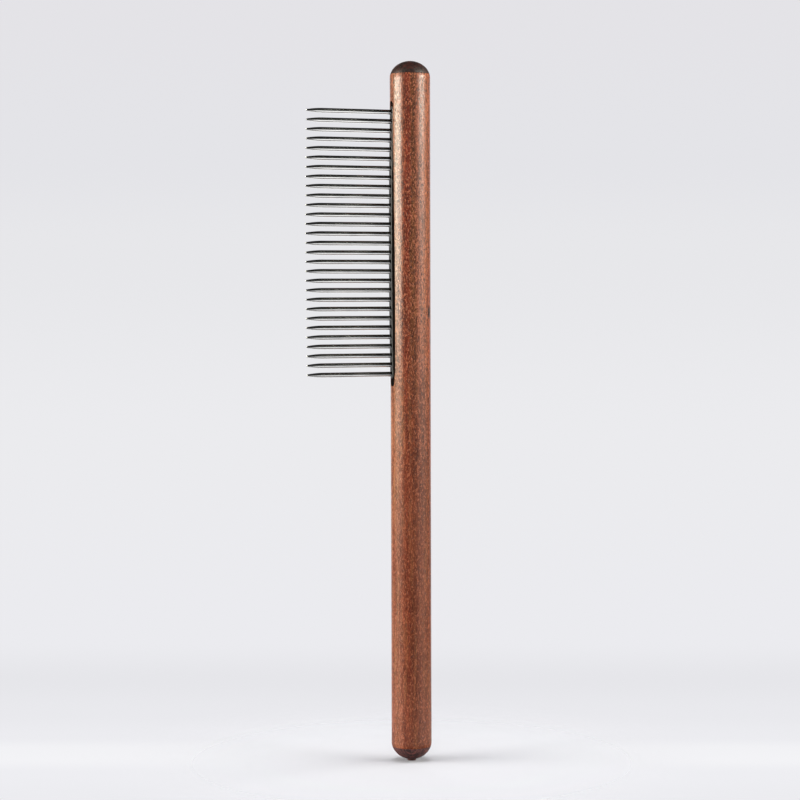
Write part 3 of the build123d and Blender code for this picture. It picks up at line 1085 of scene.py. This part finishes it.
def install(ob, mat, node):
    ob.data.materials.append(mat)
    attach(ob, "root")
    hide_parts(node)
    return ob


install(build_handle(), WOOD, "handle")
install(build_top_cap(), CAP, "top_end_cap")
install(build_bottom_cap(), CAP, "bottom_end_cap")
install(build_bar(), BAR, "spine_bar")
install(build_adhesive(), GLUE, "adhesive_bed")
for i, tooth in enumerate(TEETH):
    ob = install(build_tooth(tooth, i), STEEL, tooth.node)
    # the studio light wraps round the thin teeth: they throw no bars of shadow on the rod
    ob.visible_shadow = ob.visible_diffuse = ob.visible_glossy = False


# ---------------------------------------------------------------- floor
FLOOR_R, FLOOR_RINGS, FLOOR_SEGS = 0.23, 24, 96


def floor_material():
    mat, g = new_material("pale_floor")
    pos = g.add("TexCoord").outputs["Object"]
    away = g.vector("LENGTH", pos)
    seen = g.add("LightPath").outputs["Is Camera Ray"]
    # the camera sees only the part round the foot, where the shadow lies; the rest is backdrop
    edge_fade = g.span(away, over=(0.055, 0.20), to=(1.0, 0.0))
    seen_fade = g.span(away, over=(0.010, 0.100), to=(1.0, 0.0))
    alpha = g.math("MINIMUM", edge_fade, g.math("MAXIMUM", seen_fade, g.minus(1.0, seen)))
    # and it is clear from below
    alpha = g.times(alpha, g.minus(1.0, g.add("NewGeometry").outputs["Backfacing"]))
    pale = g.ramp(g.noise(pos, scale=(30, 30, 30), detail=3.0), stops=[
        (0.3, (0.548, 0.551, 0.582)),
        (0.7, (0.562, 0.566, 0.598)),
    ])
    # darker to bounced light than to the camera
    colour = g.mix((0.26, 0.26, 0.265), pale, amount=seen)
    return finish_material(
        mat, g, Base_Color=colour, Roughness=0.9, Specular_IOR_Level=0.05, Alpha=alpha
    )


def build_floor():
    shell = Shell()
    radii = [FLOOR_R * j / FLOOR_RINGS for j in range(FLOOR_RINGS + 1)]
    shell.skin(circle(r, 0.0, FLOOR_SEGS) for r in radii)
    shell.flip()
    ob = link("floor", shell.mesh("floor"))
    ob.data.materials.append(floor_material())


build_floor()

# ---------------------------------------------------------------- lights
SOFTBOX_DIST = 1.80
WARM = (1.0, 0.99, 0.95)


def area_light(name, shape, width, height, radiance, tint):
    light = bpy.data.lights.new(name, "AREA")
    light.shape, light.size = shape, width
    if shape == "RECTANGLE":
        light.size_y = height
    light.energy = radiance * math.pi * width * height
    light.color = tint
    ob = link(name, light)
    ob.visible_camera = False
    return ob


def softbox(name, bearings, heights, radiance, tint, gloss=True, diffuse=True):
    """A rectangle between two bearings, in degrees from VIEW toward SIDE, facing the rod."""
    (start, end), (z0, z1) = bearings, heights
    width = 2 * SOFTBOX_DIST * math.tan(math.radians(abs(end - start) / 2))
    ob = area_light(name, "RECTANGLE", width, z1 - z0, radiance, tint)
    middle = math.radians((start + end) / 2)
    toward = VIEW * math.cos(middle) + SIDE * math.sin(middle)
    ob.location = toward * SOFTBOX_DIST + Vector((0, 0, (z0 + z1) / 2))
    ob.rotation_euler = toward.to_track_quat("Z", "Y").to_euler()
    ob.visible_glossy, ob.visible_diffuse = gloss, diffuse


# The softboxes only make highlights; the fills and the overhead only light matt surfaces
softbox("softbox_left", bearings=(-53, -98), heights=(0.128, 1.55), radiance=17.2,
        tint=(1.0, 0.99, 0.83), diffuse=False)
softbox("softbox_right", bearings=(55, 88), heights=(0.418, 1.55), radiance=44.0,
        tint=(1.0, 0.99, 0.85), diffuse=False)
softbox("fill_left", bearings=(-58, -100), heights=(0.060, 1.55), radiance=8.6,
        tint=WARM, gloss=False)
softbox("fill_right", bearings=(60, 125), heights=(0.060, 1.55), radiance=6.4,
        tint=WARM, gloss=False)
softbox("fill_front", bearings=(-16, 16), heights=(0.0, 1.05), radiance=3.1,
        tint=(1.0, 0.98, 0.95), gloss=False)
overhead = area_light("overhead", "SQUARE", width=1.0, height=1.0, radiance=8.4,
                      tint=(0.97, 0.98, 1.0))
overhead.location = (0.0, 0.0, 2.0)
overhead.visible_glossy = False

# ---------------------------------------------------------------- world
# What the camera sees, up the picture: share of its height, sRGB colour out of 255
BACKDROP = [
    (0.000, (236, 236, 240)), (0.035, (238, 238, 242)), (0.050, (243, 243, 246)),
    (0.064, (242, 242, 245)), (0.078, (236, 236, 240)), (0.110, (233, 233, 237)),
    (0.150, (230, 230, 234)), (0.200, (235, 235, 239)), (0.450, (235, 235, 238)),
    (0.690, (231, 231, 234)), (0.800, (228, 228, 232)), (1.000, (228, 227, 231)),
]


def linear(channel):
    c = channel / 255.0
    return c / 12.92 if c <= 0.04045 else ((c + 0.055) / 1.055) ** 2.4


def build_world():
    world = bpy.data.worlds.new("studio")
    bpy.context.scene.world = world
    world.use_nodes = True
    g = Graph(world.node_tree)
    # what lights and reflections see: a bright wall beyond the rod
    direction = g.add("TexCoord").outputs["Generated"]
    dx, _, dz = g.sep(direction)
    facing = g.vector("DOT_PRODUCT", direction, tuple(-VIEW))
    wall = g.times(g.span(facing, over=(0.66, 0.92)), g.span(dz, over=(0.80, 0.55)))
    # and below the horizon a bright strip on one side, dim elsewhere
    strip = g.span(g.math("ABSOLUTE", g.minus(dx, 0.358)), over=(0.34, 0.14))
    table = g.affine(strip, times=1.80, plus=0.14)
    table = g.times(g.span(dz, over=(-0.10, -0.42)), table)
    ambient = 0.022
    studio = g.plus(g.math("MAXIMUM", g.times(wall, 0.80), table), ambient)
    studio = g.tint((0.985, 0.99, 1.0), g.grey(studio))
    window = g.sep(g.add("TexCoord").outputs["Window"])
    stops = [(height, tuple(linear(c) for c in colour)) for height, colour in BACKDROP]
    backdrop = g.ramp(window[1], stops, interp="EASE")
    seen = g.add("LightPath").outputs["Is Camera Ray"]
    colour = g.mix(studio, backdrop, amount=seen)
    background = g.add("Background", {"Color": colour, "Strength": 1.0})
    g.add("OutputWorld", {0: background.outputs[0]})


build_world()

# ---------------------------------------------------------------- camera
CAM_DIST, CAM_Z = 0.660, 0.1326
CAM_AIM = Vector((-0.002866, 0.001100, 0.10364))
CAM_ROLL = math.radians(-0.163)

cam_data = bpy.data.cameras.new("camera")
cam_data.lens, cam_data.sensor_width = 104.01, 36.0
cam_data.clip_start, cam_data.clip_end = 0.01, 10.0
cam = link("camera", cam_data)
cam.location = VIEW * CAM_DIST + Vector((0, 0, CAM_Z))
look = (CAM_AIM - cam.location).to_track_quat("-Z", "Y")
cam.rotation_euler = (look @ Quaternion((0, 0, 1), CAM_ROLL)).to_euler()

scene = bpy.context.scene
scene.camera = cam
scene.view_settings.view_transform = "Standard"
scene.view_settings.look = "None"
